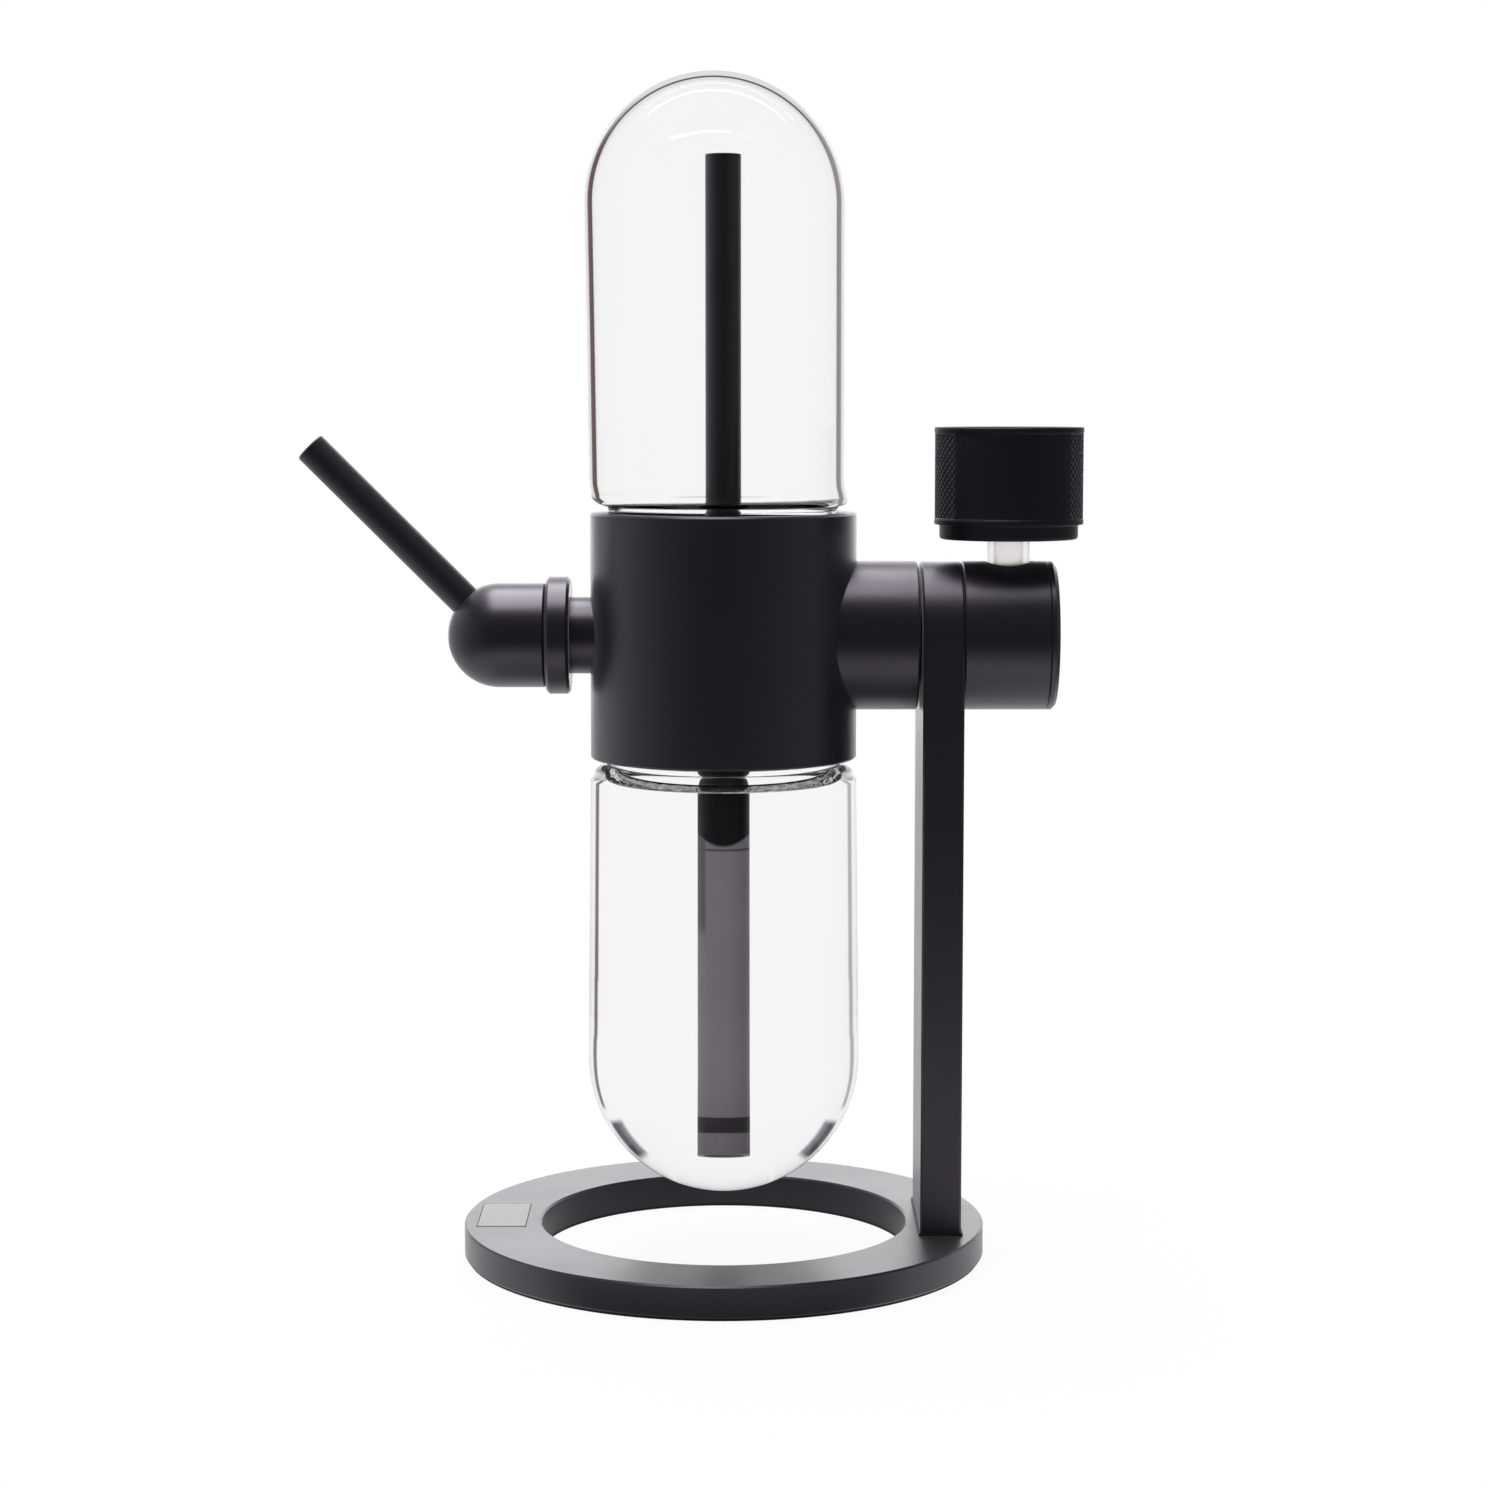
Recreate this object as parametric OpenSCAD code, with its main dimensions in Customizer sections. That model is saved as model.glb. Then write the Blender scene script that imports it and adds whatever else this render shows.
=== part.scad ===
// Tabletop two-globe gravity infuser for drinks service.
// Two glass globes stand on a metal body that turns end over end on a fixed, hollow valve shaft.
// The shaft is bolted to an upright on a ring base. It feeds the bowl's side to the globe that
// is up, and opens the globe that is down to the mouthpiece.
// Millimetres, +Z up. The origin is the centre of the base ring, on the table. X is the pivot.

/* [Base ring] */
// Outside diameter of the base ring
base_d = 200; // [180:1:240]
// Diameter of the opening in the base ring
base_hole_d = 140.6; // [110:0.2:144]
// Thickness of the metal ring
base_t = 12; // [9:0.5:20]
// Thickness of the rubber foot under the ring
foot_t = 1; // [0.8:0.1:3]
// How far the foot's outer edge stands back from the ring's
foot_inset = 1.2; // [0.5:0.1:5]

/* [Upright] */
// Thickness of the upright, along the pivot
upright_t = 15.5; // [12:0.5:17]
// Width of the upright, front to back
upright_w = 56; // [54:0.5:60]
// Height of the pivot above the table
pivot_h = 238.8; // [235:0.2:300]
// Thickness of the dark gasket between the upright and the ring
gasket_t = 0.9; // [0.5:0.1:2]
// How far that gasket shows round the upright's foot
gasket_lip = 0.6; // [0.2:0.1:1.5]
// Diameter of the bolts that hold the upright down
foot_bolt_d = 5; // [4:0.5:6]
// Distance between those two bolts
foot_bolt_gap = 32; // [26:1:38]

/* [Centre body] */
// Diameter of the centre body
body_d = 101; // [98:0.5:112]
// Height of the centre body
body_h = 93; // [88:0.5:104]
// Thickness of the solid web between the two globes' sockets
web_t = 48; // [47:0.5:52]
// Diameter of the boss that joins the body to the upright
boss_d = 56.4; // [55:0.2:60]
// Distance from the globes' axis to the boss's outer face
boss_reach = 73.5; // [70:0.5:82]
// Diameter of the spigot that seats the boss in the body
spigot_d = 42; // [40:0.5:43]
// How deep that spigot's seat is, measured in from the body's side
spigot_depth = 10.5; // [9:0.5:13]
// Diameter of the two drain holes between the globes
drain_d = 5; // [3:0.5:7]
// Distance of each drain hole from the globes' axis
drain_offset = 25; // [23:0.5:28]
// Diameter of the towers that carry the downtubes
tower_d = 25; // [24:0.5:30]
// Height of those towers above the web
tower_h = 12; // [6:0.5:18]

/* [Valve shaft] */
// Diameter of the valve shaft
shaft_d = 29.1; // [28.6:0.1:29.6]
// Diameter of the shaft's end where it passes through the upright
tail_d = 24; // [20:0.5:26]
// Distance from the globes' axis to the shaft's far end, inside the coupling
shaft_reach = 62; // [61:0.5:68]
// Diameter of the gas passages along the shaft
passage_d = 12; // [8:0.5:13]
// Diameter of the two ports in the shaft's side
port_d = 6.4; // [4:0.2:7]
// Distance of each port from the globes' axis
port_offset = 5.4; // [4.6:0.1:5.6]
// Thickness of the collar that keeps the body on the shaft
collar_t = 4; // [3:0.5:5]
// Diameter of that collar
collar_d = 36.8; // [36:0.2:37]
// Wall of the bearing and valve sleeves round the shaft
sleeve_wall = 1.6; // [1.2:0.1:1.6]
// Length of each bearing sleeve
bearing_l = 12; // [8:0.5:14]

/* [Globes] */
// How far the upper globe's dome stands in from the centre body's side
upper_dome_in = 0.7; // [-3:0.1:2]
// How far the upper globe's shoulder stands in from the centre body's side
upper_shoulder_in = 1.4; // [-2:0.1:2.4]
// Distance from the pivot to the top of the upper globe
upper_globe_reach = 211.7; // [180:0.1:240]
// How far the lower globe's dome stands out from the centre body's side
lower_dome_out = 1.4; // [-2:0.1:3]
// How far the lower globe's shoulder stands out from the centre body's side
lower_shoulder_out = 0.1; // [-2.4:0.1:2]
// Distance from the pivot to the bottom of the lower globe
lower_globe_reach = 213.9; // [180:0.1:220]
// Wall of the upper globe
upper_wall = 3.9; // [2.5:0.1:5]
// Wall of the lower globe
lower_wall = 4.4; // [2.5:0.1:5]
// How far the globes' necks stand in from the centre body's side
neck_inset = 7.1; // [6.5:0.1:8.5]
// Wall of the globes' necks
neck_wall = 4.2; // [3:0.1:5]
// Gap between the body's rim and the globes' shoulders
shoulder_gap = 2.6; // [1:0.1:6]
// Corner radius of the upper globe's shoulder
upper_corner_r = 4.6; // [3:0.1:6]
// Corner radius of the lower globe's shoulder
lower_corner_r = 6; // [3:0.1:7]
// Outside diameter of the downtubes
downtube_d = 13.5; // [10:0.1:14]
// Wall of the downtubes
downtube_wall = 1.6; // [1:0.1:2]
// Distance from the pivot to the open end of the upper globe's downtube
upper_downtube_reach = 180.3; // [120:0.1:185]
// Distance from the pivot to the open end of the lower globe's downtube
lower_downtube_reach = 188.3; // [120:0.1:190]

/* [Intake hub] */
// Diameter of the intake hub
hub_d = 56.4; // [55:0.2:60]
// Length of the intake hub with its cap
hub_l = 35.6; // [35:0.2:44]
// Diameter of the chamber inside the hub
chamber_d = 40; // [38:0.5:42]
// Thickness of the wall between the chamber and the upright
hub_wall = 3; // [2.5:0.1:4]
// Thickness of the hub's cap
cap_t = 3.2; // [2:0.1:5]
// Distance from the hub's inner face to the bowl's axis
bowl_offset = 18; // [17.8:0.1:18.4]

/* [Bowl] */
// Diameter of the bowl's ground stem
stem_d = 15.9; // [14:0.1:16]
// How deep the stem goes into the hub, from the hub's top
stem_depth = 20.8; // [14:0.1:22]
// Height of the sleeve's underside above the hub
bowl_gap = 8.3; // [4:0.1:20]
// Diameter of the bowl sleeve
bowl_d = 55.6; // [50:0.2:70]
// Height of the bowl sleeve
bowl_h = 42.2; // [36:0.2:60]
// Wall of the bowl sleeve
bowl_sleeve_wall = 2.6; // [1.6:0.1:4]
// Wall of the glass cup inside the sleeve
cup_wall = 3; // [2:0.1:4]
// How far the lip and the lower ridge stand out
ridge_out = 0.4; // [0.2:0.1:1]
// Diameter of the stepped-in foot of the sleeve
bowl_foot_d = 52.4; // [47:0.2:54]
// Height of that foot
bowl_foot_h = 5.6; // [3:0.2:8]
// Diameter of the screen in the cup's funnel
screen_d = 20; // [12:0.5:28]

/* [Mouthpiece] */
// Diameter of the magnetic coupling ring
coupling_d = 44.5; // [42:0.1:52]
// Width of the coupling ring
coupling_w = 9; // [8.6:0.1:14]
// How far the shaft's end enters the coupling ring
pilot_l = 4; // [3:0.1:4.4]
// Diameter of the domed elbow
elbow_d = 39.5; // [36:0.1:42]
// Length of the elbow's straight part
elbow_l = 17.6; // [17:0.1:30]
// Outside diameter of the mouthpiece tube
mouth_d = 12.4; // [10:0.1:14]
// Wall of the mouthpiece tube
mouth_wall = 1.6; // [1:0.1:2.5]
// Distance from the dome's centre to the tube's open end
mouth_reach = 100.9; // [60:0.1:160]
// Angle of the mouthpiece tube above level
mouth_angle = 45; // [25:1:65]

/* [Fits] */
// Radial clearance of a running fit
running = 0.06; // [0.04:0.01:0.08]
// Radial clearance of pieces that are pushed together
seat = 0.05; // [0.03:0.01:0.1]
// Gap left between faces that turn past each other
face_gap = 0.3; // [0.2:0.05:0.6]
// Small bevel on the metal's outside edges
edge = 0.7; // [0.3:0.1:1.2]

/* [Hidden] */
$fn = 120;
over = 1; // how far a cut runs past the face that it opens
floor_t = 3; // floor of the bowl sleeve
metal = [0.10, 0.10, 0.11];
bright = [0.66, 0.67, 0.69];
soft_black = [0.06, 0.06, 0.065];
glass = [0.80, 0.88, 0.90, 0.35];

bolt_grip = 18; // how far the bolts go into the upright
bolt_well = 2; // the hole goes on below them

// heights above the table
ring_top = foot_t + base_t;
foot_z = ring_top + gasket_t;

// stations along the pivot, from the globes' axis outwards
boss_gap = 1;
upright_x = boss_reach + boss_gap;
hub_x = upright_x + upright_t;
cap_x = hub_x + hub_l - cap_t;
chamber_x = hub_x + hub_wall;
bowl_x = hub_x + bowl_offset;
neck_face_x = -(shaft_reach - pilot_l);
elbow_x = neck_face_x - coupling_w - face_gap;
dome_x = elbow_x - elbow_l;

// the shaft, its collar and what runs round it
shaft_r = shaft_d / 2;
tail_r = tail_d / 2;
sleeve_r = shaft_r + running + sleeve_wall;
bore_r = sleeve_r + seat;
collar_r = collar_d / 2;
washer_t = 1;
axial = 0.08; // end float on each side of the collar
seat_x = body_d / 2 - spigot_depth;
washer_1 = seat_x + axial;
collar_x = washer_1 + washer_t + axial;
washer_2 = collar_x + collar_t + axial;
well_x = washer_2 + washer_t + axial;
well_r = collar_r + 0.3;
bearing_in = 12.2; // the inner bearing's end, from the body's side
bearing_gap = 0.3;
sleeve_l = body_d / 2 - bearing_in - bearing_l - bearing_gap; // half the valve sleeve

// the globes' sockets
web_top = web_t / 2;
neck_r = body_d / 2 - neck_inset;
socket_r = neck_r + 0.4;
cushion_t = 2.4;
neck_start = web_top + cushion_t;
shoulder_z = body_h / 2 + shoulder_gap;
seal_r = 1.2;
seal_ring_r = neck_r + seat + seal_r;
seal_up = 11; // the neck seal, above the web
seal_z = web_top + seal_up;

// the downtubes' seats
tower_top = web_top + tower_h;
pocket_z = bore_r + 4.6;
downtube_r = downtube_d / 2;
grommet_r = 9.4;
window_x = 2 * (port_offset + port_d / 2) + 1;
window_y = 8;

// the boss's screws
screw_d = 3;
screw_head_d = 5.4;
screw_head_h = 3;
screw_ring_r = 24.4;
screw_depth = 12;
screw_in = 3.4; // how deep the heads are sunk

// the hub's inside
nut_t = 4.4;
nut_af = 32;
nut_seal_t = 0.8;
nut_x = chamber_x + nut_seal_t;
tail_end = nut_x + nut_t + 0.2;
socket_out_r = stem_d / 2 + running + 1.5;
stem_r = stem_d / 2;
hub_top = hub_d / 2;
stem_bottom = hub_top - stem_depth;
stop_t = 1.6;

// the coupling and its swivel
magnet_r = 11.5;
magnet_in_r = 7.8;
magnet_t = 2.6;
shaft_magnet_t = 3.4;
magnet_gap = 0.3;
barrel_r = 11;
barrel_l = 9;
barrel_in_r = passage_d / 2 + 0.4;
clip_r = barrel_r + 1;
clip_split = 3; // the gap between the clip's ends

module at_pivot() { translate([0, 0, pivot_h]) children(); }
module at_bowl() { translate([bowl_x, 0, pivot_h]) children(); }

// a plain disc along X, from one station to another
module rod_x(r, x0, x1) {
    translate([x0, 0, 0]) rotate([0, 90, 0]) cylinder(r = r, h = x1 - x0);
}

// a plain disc along Z, from one height to another
module rod_z(r, z0, z1) {
    translate([0, 0, z0]) cylinder(r = r, h = z1 - z0);
}

// a turned disc with its own bevel at each end
module turned(r, h, e0, e1) {
    rotate_extrude() polygon([[0, 0], [r - e0, 0], [r, e0], [r, h - e1], [r - e1, h], [0, h]]);
}

module turned_x(r, x0, x1, e0, e1) {
    translate([x0, 0, 0]) rotate([0, 90, 0]) turned(r, x1 - x0, e0, e1);
}

module pipe_z(r_out, r_in, z0, z1) {
    difference() {
        rod_z(r_out, z0, z1);
        rod_z(r_in, z0 - over, z1 + over);
    }
}

module pipe_x(r_out, r_in, x0, x1) {
    difference() {
        rod_x(r_out, x0, x1);
        rod_x(r_in, x0 - over, x1 + over);
    }
}

module o_ring(ring_r, cord_r) {
    rotate_extrude() translate([ring_r, 0]) circle(r = cord_r, $fn = 32);
}

module o_ring_x(ring_r, cord_r, x) {
    translate([x, 0, 0]) rotate([0, 90, 0]) o_ring(ring_r, cord_r);
}

// a square groove, cut from a bore outwards
module bore_groove_z(bore, ring_r, cord_r, z) {
    difference() {
        rod_z(ring_r + cord_r + seat, z - cord_r - 0.3, z + cord_r + 0.3);
        rod_z(bore - 0.2, z - cord_r - over, z + cord_r + over);
    }
}

// a square groove, cut round a shaft
module shaft_groove_x(r, ring_r, cord_r, x) {
    pipe_x(r + over, ring_r - cord_r - seat, x - cord_r - 0.3, x + cord_r + 0.3);
}

// ---- base and upright

module base_ring() color(metal) {
    difference() {
        translate([0, 0, foot_t]) turned(base_d / 2, base_t, edge, edge);
        rod_z(base_hole_d / 2, -over, ring_top + over);
        translate([0, 0, ring_top - edge])
            cylinder(r1 = base_hole_d / 2, r2 = base_hole_d / 2 + edge + over, h = edge + over);
        for (y = [-foot_bolt_gap / 2, foot_bolt_gap / 2])
            translate([upright_x + upright_t / 2, y, 0]) {
                rod_z(foot_bolt_d / 2 + 0.3, -over, ring_top + over);
                rod_z(foot_bolt_d * 0.85 + 0.3, -over, foot_t + foot_bolt_d);
            }
    }
}

module base_foot() color(soft_black) {
    difference() {
        rod_z(base_d / 2 - foot_inset, 0, foot_t);
        rod_z(base_hole_d / 2, -over, foot_t + over);
        for (y = [-foot_bolt_gap / 2, foot_bolt_gap / 2])
            translate([upright_x + upright_t / 2, y, 0])
                rod_z(foot_bolt_d * 0.85 + 0.3, -over, foot_t + over);
    }
}

module upright_gasket() color(soft_black) {
    size_x = upright_t + 2 * gasket_lip;
    size_y = upright_w + 2 * gasket_lip;
    difference() {
        translate([upright_x - gasket_lip, -size_y / 2, ring_top]) cube([size_x, size_y, gasket_t]);
        for (y = [-foot_bolt_gap / 2, foot_bolt_gap / 2])
            translate([upright_x + upright_t / 2, y, 0])
                rod_z(foot_bolt_d / 2 + 0.3, ring_top - over, foot_z + over);
    }
}

module upright_bolts() color(bright) {
    for (y = [-foot_bolt_gap / 2, foot_bolt_gap / 2])
        translate([upright_x + upright_t / 2, y, 0])
            difference() {
                union() {
                    rod_z(foot_bolt_d / 2, foot_t + foot_bolt_d, foot_z + bolt_grip);
                    rod_z(foot_bolt_d * 0.85, foot_t + 0.4, foot_t + foot_bolt_d);
                }
                rod_z(foot_bolt_d * 0.4, foot_t, foot_t + foot_bolt_d * 0.6, $fn = 6);
            }
}

// the bar is drawn in plan with its four long edges bevelled, and the eye is turned
module upright() color(metal) {
    x0 = upright_x;
    x1 = upright_x + upright_t;
    w = upright_w / 2;
    difference() {
        union() {
            translate([0, 0, foot_z]) linear_extrude(pivot_h - foot_z)
                polygon([[x0, edge - w], [x0 + edge, -w], [x1 - edge, -w], [x1, edge - w],
                    [x1, w - edge], [x1 - edge, w], [x0 + edge, w], [x0, w - edge]]);
            at_pivot() turned_x(w, x0, x1, edge, edge);
        }
        at_pivot() rod_x(tail_r + seat, x0 - over, x1 + over);
        at_pivot() translate([0, 0, -dowel_ring_r]) rod_x(dowel_r + seat, x1 - dowel_in, x1 + over);
        for (y = [-foot_bolt_gap / 2, foot_bolt_gap / 2])
            translate([(x0 + x1) / 2, y, 0]) rod_z(foot_bolt_d / 2 + seat, foot_z - over, foot_z + bolt_grip + bolt_well);
    }
}

// ---- valve shaft: two separate passages, one port up and one port down

module valve_shaft() color(bright) {
    at_pivot() difference() {
        union() {
            turned_x(shaft_r, -shaft_reach, upright_x - washer_len, 0.5, 0);
            rod_x(collar_r, collar_x, collar_x + collar_t);
            rod_x(tail_r, upright_x - washer_len - over, tail_end);
        }
        rod_x(passage_d / 2, 2, tail_end + over);
        rod_x(passage_d / 2, -shaft_reach - over, -2);
        rod_x(magnet_r + seat, -shaft_reach - over, -shaft_reach + shaft_magnet_t);
        translate([port_offset, 0, 0]) rod_z(port_d / 2, 0, shaft_r + over);
        translate([-port_offset, 0, 0]) rod_z(port_d / 2, -shaft_r - over, 0);
        shaft_groove_x(shaft_r, shaft_r - 0.9, 0.85, neck_face_x + 0.4 - pilot_l / 2);
    }
}

module outlet_seal() color(soft_black) {
    at_pivot() o_ring_x(shaft_r - 0.9, 0.85, neck_face_x + 0.4 - pilot_l / 2);
}

module shaft_magnet() color(bright) {
    at_pivot() pipe_x(magnet_r, magnet_in_r, -shaft_reach, -shaft_reach + shaft_magnet_t);
}

// ---- fixed side of the pivot: washer, hub, nut and cap

washer_len = boss_gap - 0.1; // thickness of the thrust washer
thrust_r = 18;
module thrust_washer() color("dimgray") {
    at_pivot() pipe_x(thrust_r, tail_r + seat, upright_x - washer_len, upright_x);
}

module intake_hub() color(metal) {
    difference() {
        at_pivot() turned_x(hub_d / 2, hub_x, cap_x, edge, 0.35);
        at_pivot() rod_x(tail_r + seat, hub_x - over, chamber_x + over);
        at_pivot() rod_x(chamber_d / 2, chamber_x, cap_x + over);
        at_pivot() translate([0, 0, -dowel_ring_r]) rod_x(dowel_r + seat, hub_x - over, hub_x + dowel_in);
        at_bowl() rod_z(socket_out_r + seat, 0, hub_top + over);
    }
}

dowel_r = 1.5;
dowel_in = 6;
dowel_ring_r = 24;
module hub_dowel() color(bright) {
    at_pivot() translate([0, 0, -dowel_ring_r]) rod_x(dowel_r, hub_x - dowel_in, hub_x + dowel_in);
}

module nut_seal() color(soft_black) {
    at_pivot() pipe_x(nut_af / 2, tail_r + seat, chamber_x, nut_x);
}

module shaft_nut() color(bright) {
    at_pivot() difference() {
        translate([nut_x, 0, 0]) rotate([0, 90, 0]) cylinder(d = nut_af / cos(30), h = nut_t, $fn = 6);
        rod_x(tail_r + seat, nut_x - over, nut_x + nut_t + over);
    }
}

cap_spigot = 3.6;
cap_seal_r = 0.9;
cap_seal_ring = chamber_d / 2 - cap_seal_r - seat;
module hub_cap() color(metal) {
    at_pivot() difference() {
        union() {
            turned_x(hub_d / 2, cap_x, hub_x + hub_l, 0.35, 1.4);
            rod_x(chamber_d / 2 - seat, cap_x - cap_spigot, cap_x);
        }
        rod_x(chamber_d / 2 - 4, cap_x - cap_spigot - over, cap_x - 0.6);
        shaft_groove_x(chamber_d / 2, cap_seal_ring, cap_seal_r, cap_x - cap_spigot / 2);
    }
}

module cap_seal() color(soft_black) {
    at_pivot() o_ring_x(cap_seal_ring, cap_seal_r, cap_x - cap_spigot / 2);
}

// the socket's top is trimmed to the hub's round, and its foot holds the stem up
module stem_socket() color(soft_black) {
    difference() {
        intersection() {
            at_bowl() rod_z(socket_out_r, stem_bottom - stop_t - face_gap, hub_top);
            at_pivot() rod_x(hub_d / 2 - 0.4, hub_x, cap_x);
        }
        at_bowl() rod_z(stem_r + running, stem_bottom - face_gap, hub_top + over);
        at_bowl() rod_z(stem_r - 1.6, 0, hub_top);
    }
}

// ---- centre body

module centre_body() color(metal) {
    at_pivot() difference() {
        union() {
            difference() {
                translate([0, 0, -body_h / 2]) turned(body_d / 2, body_h, edge, edge);
                rod_z(socket_r, web_top, body_h / 2 + over);
                rod_z(socket_r, -body_h / 2 - over, -web_top);
            }
            rod_z(tower_d / 2, -tower_top, tower_top);
        }
        // the shaft's exit on the left, the sleeves' bore and the boss's seat
        rod_x(shaft_r + 0.2, -body_d, 0);
        rod_x(bore_r, -sleeve_l - bearing_gap - bearing_l - 0.1, body_d / 2);
        rod_x(spigot_d / 2 + seat, seat_x, body_d);
        // drains beside the shaft, pockets for the downtubes and their windows to the shaft
        for (y = [-drain_offset, drain_offset]) translate([0, y, 0]) rod_z(drain_d / 2, -web_top - over, web_top + over);
        rod_z(grommet_r + seat, pocket_z, tower_top + over);
        rod_z(grommet_r + seat, -tower_top - over, -pocket_z);
        translate([-window_x / 2, -window_y / 2, -pocket_z - over])
            cube([window_x, window_y, 2 * (pocket_z + over)]);
        for (z = [-seal_z, seal_z]) bore_groove_z(socket_r, seal_ring_r, seal_r, z);
        boss_screw_holes(screw_d / 2 - 0.1 + seat);
    }
}

module boss_screw_holes(r) {
    for (a = [45:90:315]) rotate([a, 0, 0]) translate([0, 0, screw_ring_r]) rod_x(r, seat_x - 3, body_d);
}

// the boss saddles the body outside its spigot, and holds the collar in its well
module pivot_boss() color(metal) {
    at_pivot() difference() {
        union() {
            difference() {
                turned_x(boss_d / 2, seat_x, boss_reach, 0, edge);
                rod_z(body_d / 2 + seat, -boss_d, boss_d);
            }
            rod_x(spigot_d / 2, seat_x, body_d / 2 + over);
        }
        rod_x(well_r, seat_x - over, well_x);
        rod_x(bore_r, well_x - over, well_x + bearing_l + 0.1);
        rod_x(shaft_r + 0.3, well_x, boss_reach + over);
        boss_screw_holes(screw_d / 2 + 0.15);
        for (a = [45:90:315]) rotate([a, 0, 0]) translate([0, 0, screw_ring_r])
            rod_x(screw_head_d / 2 + 0.15, boss_reach - screw_in, boss_reach + over);
    }
}

module boss_screws() color(bright) {
    at_pivot() for (a = [45:90:315]) rotate([a, 0, 0]) translate([0, 0, screw_ring_r]) difference() {
        union() {
            rod_x(screw_d / 2 - 0.1, seat_x - 2.6, boss_reach - screw_in + 0.1);
            rod_x(screw_head_d / 2, boss_reach - screw_in, boss_reach - screw_in + screw_head_h);
        }
        rod_x(1.25, boss_reach - screw_in + screw_head_h - 1.6, boss_reach, $fn = 6);
    }
}

module inner_bearing() color("tan") {
    at_pivot() pipe_x(sleeve_r, shaft_r + running, -sleeve_l - bearing_gap - bearing_l, -sleeve_l - bearing_gap);
}

module outer_bearing() color("tan") {
    at_pivot() pipe_x(sleeve_r, shaft_r + running, well_x, well_x + bearing_l);
}

module valve_sleeve() color("whitesmoke") {
    at_pivot() difference() {
        pipe_x(sleeve_r, shaft_r + running, -sleeve_l, sleeve_l);
        translate([-window_x / 2, -window_y / 2, -sleeve_r - over])
            cube([window_x, window_y, 2 * (sleeve_r + over)]);
    }
}

module collar_washers() color("whitesmoke") {
    at_pivot() for (x = [washer_1, washer_2]) pipe_x(collar_r, shaft_r + 0.15, x, x + washer_t);
}

// ---- globes, drawn upwards from the pivot; the lower one is turned over

// the outline of one wall of a globe: dome, side and shoulder, on the right of the axis
module globe_half(dome_r, shoulder_r, end_z, base_z, corner_r) {
    dome_z = end_z - dome_r;
    intersection() {
        translate([0, dome_z]) circle(r = dome_r);
        translate([0, dome_z]) square([dome_r, dome_r]);
    }
    translate([shoulder_r - corner_r, base_z + corner_r]) circle(r = corner_r, $fn = 64);
    polygon([[0, base_z], [shoulder_r - corner_r, base_z], [shoulder_r - corner_r, base_z + corner_r],
        [shoulder_r, base_z + corner_r], [dome_r, dome_z], [0, dome_z]]);
}

module globe(r, s, reach, wall, corner_r) {
    inner_corner = corner_r + 2;
    color(glass) rotate_extrude() difference() {
        union() {
            globe_half(r, s, reach, shoulder_z, corner_r);
            translate([0, neck_start]) square([neck_r, shoulder_z - neck_start + over]);
        }
        globe_half(r - wall, s - wall, reach - wall, shoulder_z + wall, inner_corner);
        translate([-over, neck_start - over]) square([neck_r - neck_wall + over, shoulder_z - neck_start + wall + 2 * over]);
    }
}

module upper_globe() at_pivot()
    globe(body_d / 2 - upper_dome_in, body_d / 2 - upper_shoulder_in, upper_globe_reach, upper_wall, upper_corner_r);

module lower_globe() at_pivot() rotate([180, 0, 0])
    globe(body_d / 2 + lower_dome_out, body_d / 2 + lower_shoulder_out, lower_globe_reach, lower_wall, lower_corner_r);

module neck_seal(z) { translate([0, 0, z]) o_ring(seal_ring_r, seal_r); }
module upper_neck_seal() color(soft_black) at_pivot() neck_seal(seal_z);
module lower_neck_seal() color(soft_black) at_pivot() neck_seal(-seal_z);

module upper_cushion() color(soft_black) at_pivot() pipe_z(neck_r, neck_r - neck_wall, web_top, neck_start);
module lower_cushion() color(soft_black) at_pivot() pipe_z(neck_r, neck_r - neck_wall, -neck_start, -web_top);

module downtube(reach) color(metal) pipe_z(downtube_r, downtube_r - downtube_wall, pocket_z, reach);
module upper_downtube() at_pivot() downtube(upper_downtube_reach);
module lower_downtube() at_pivot() rotate([180, 0, 0]) downtube(lower_downtube_reach);

module tube_grommet() color(soft_black) {
    lip = 1.6;
    difference() {
        union() {
            rod_z(grommet_r, pocket_z, tower_top + lip);
            rod_z(grommet_r + 2, tower_top, tower_top + lip);
        }
        rod_z(downtube_r + seat, pocket_z - over, tower_top + lip + over);
    }
}
module upper_tube_grommet() at_pivot() tube_grommet();
module lower_tube_grommet() at_pivot() rotate([180, 0, 0]) tube_grommet();

// ---- magnetic coupling, elbow and mouthpiece

magnet_x = -shaft_reach - magnet_gap;
module coupling_ring() color(metal) {
    at_pivot() difference() {
        union() {
            turned_x(coupling_d / 2, neck_face_x - coupling_w, neck_face_x, 1.1, 1.1);
            rod_x(barrel_r, neck_face_x - coupling_w - barrel_l, neck_face_x - coupling_w);
        }
        rod_x(shaft_r + running, -shaft_reach - magnet_gap, neck_face_x + over);
        rod_x(magnet_r + seat, magnet_x - magnet_t, magnet_x + over);
        rod_x(barrel_in_r, neck_face_x - coupling_w - barrel_l - over, neck_face_x);
        shaft_groove_x(barrel_r, barrel_r - 0.95, 0.9, elbow_x - 2);
        shaft_groove_x(barrel_r, clip_r - 1.5, 0.5, elbow_x - 5.6);
    }
}

module coupling_magnet() color(bright) {
    at_pivot() pipe_x(magnet_r, magnet_in_r, magnet_x - magnet_t, magnet_x);
}

module swivel_seal() color(soft_black) {
    at_pivot() o_ring_x(barrel_r - 0.95, 0.9, elbow_x - 2);
}

// a split spring clip that keeps the elbow on the coupling's barrel
module swivel_clip() color(bright) {
    at_pivot() difference() {
        pipe_x(clip_r, barrel_r - 0.9, elbow_x - 6, elbow_x - 5.2);
        translate([elbow_x - 6 - over, -clip_split / 2, 0]) cube([0.8 + 2 * over, clip_split, clip_r + over]);
    }
}

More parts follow.
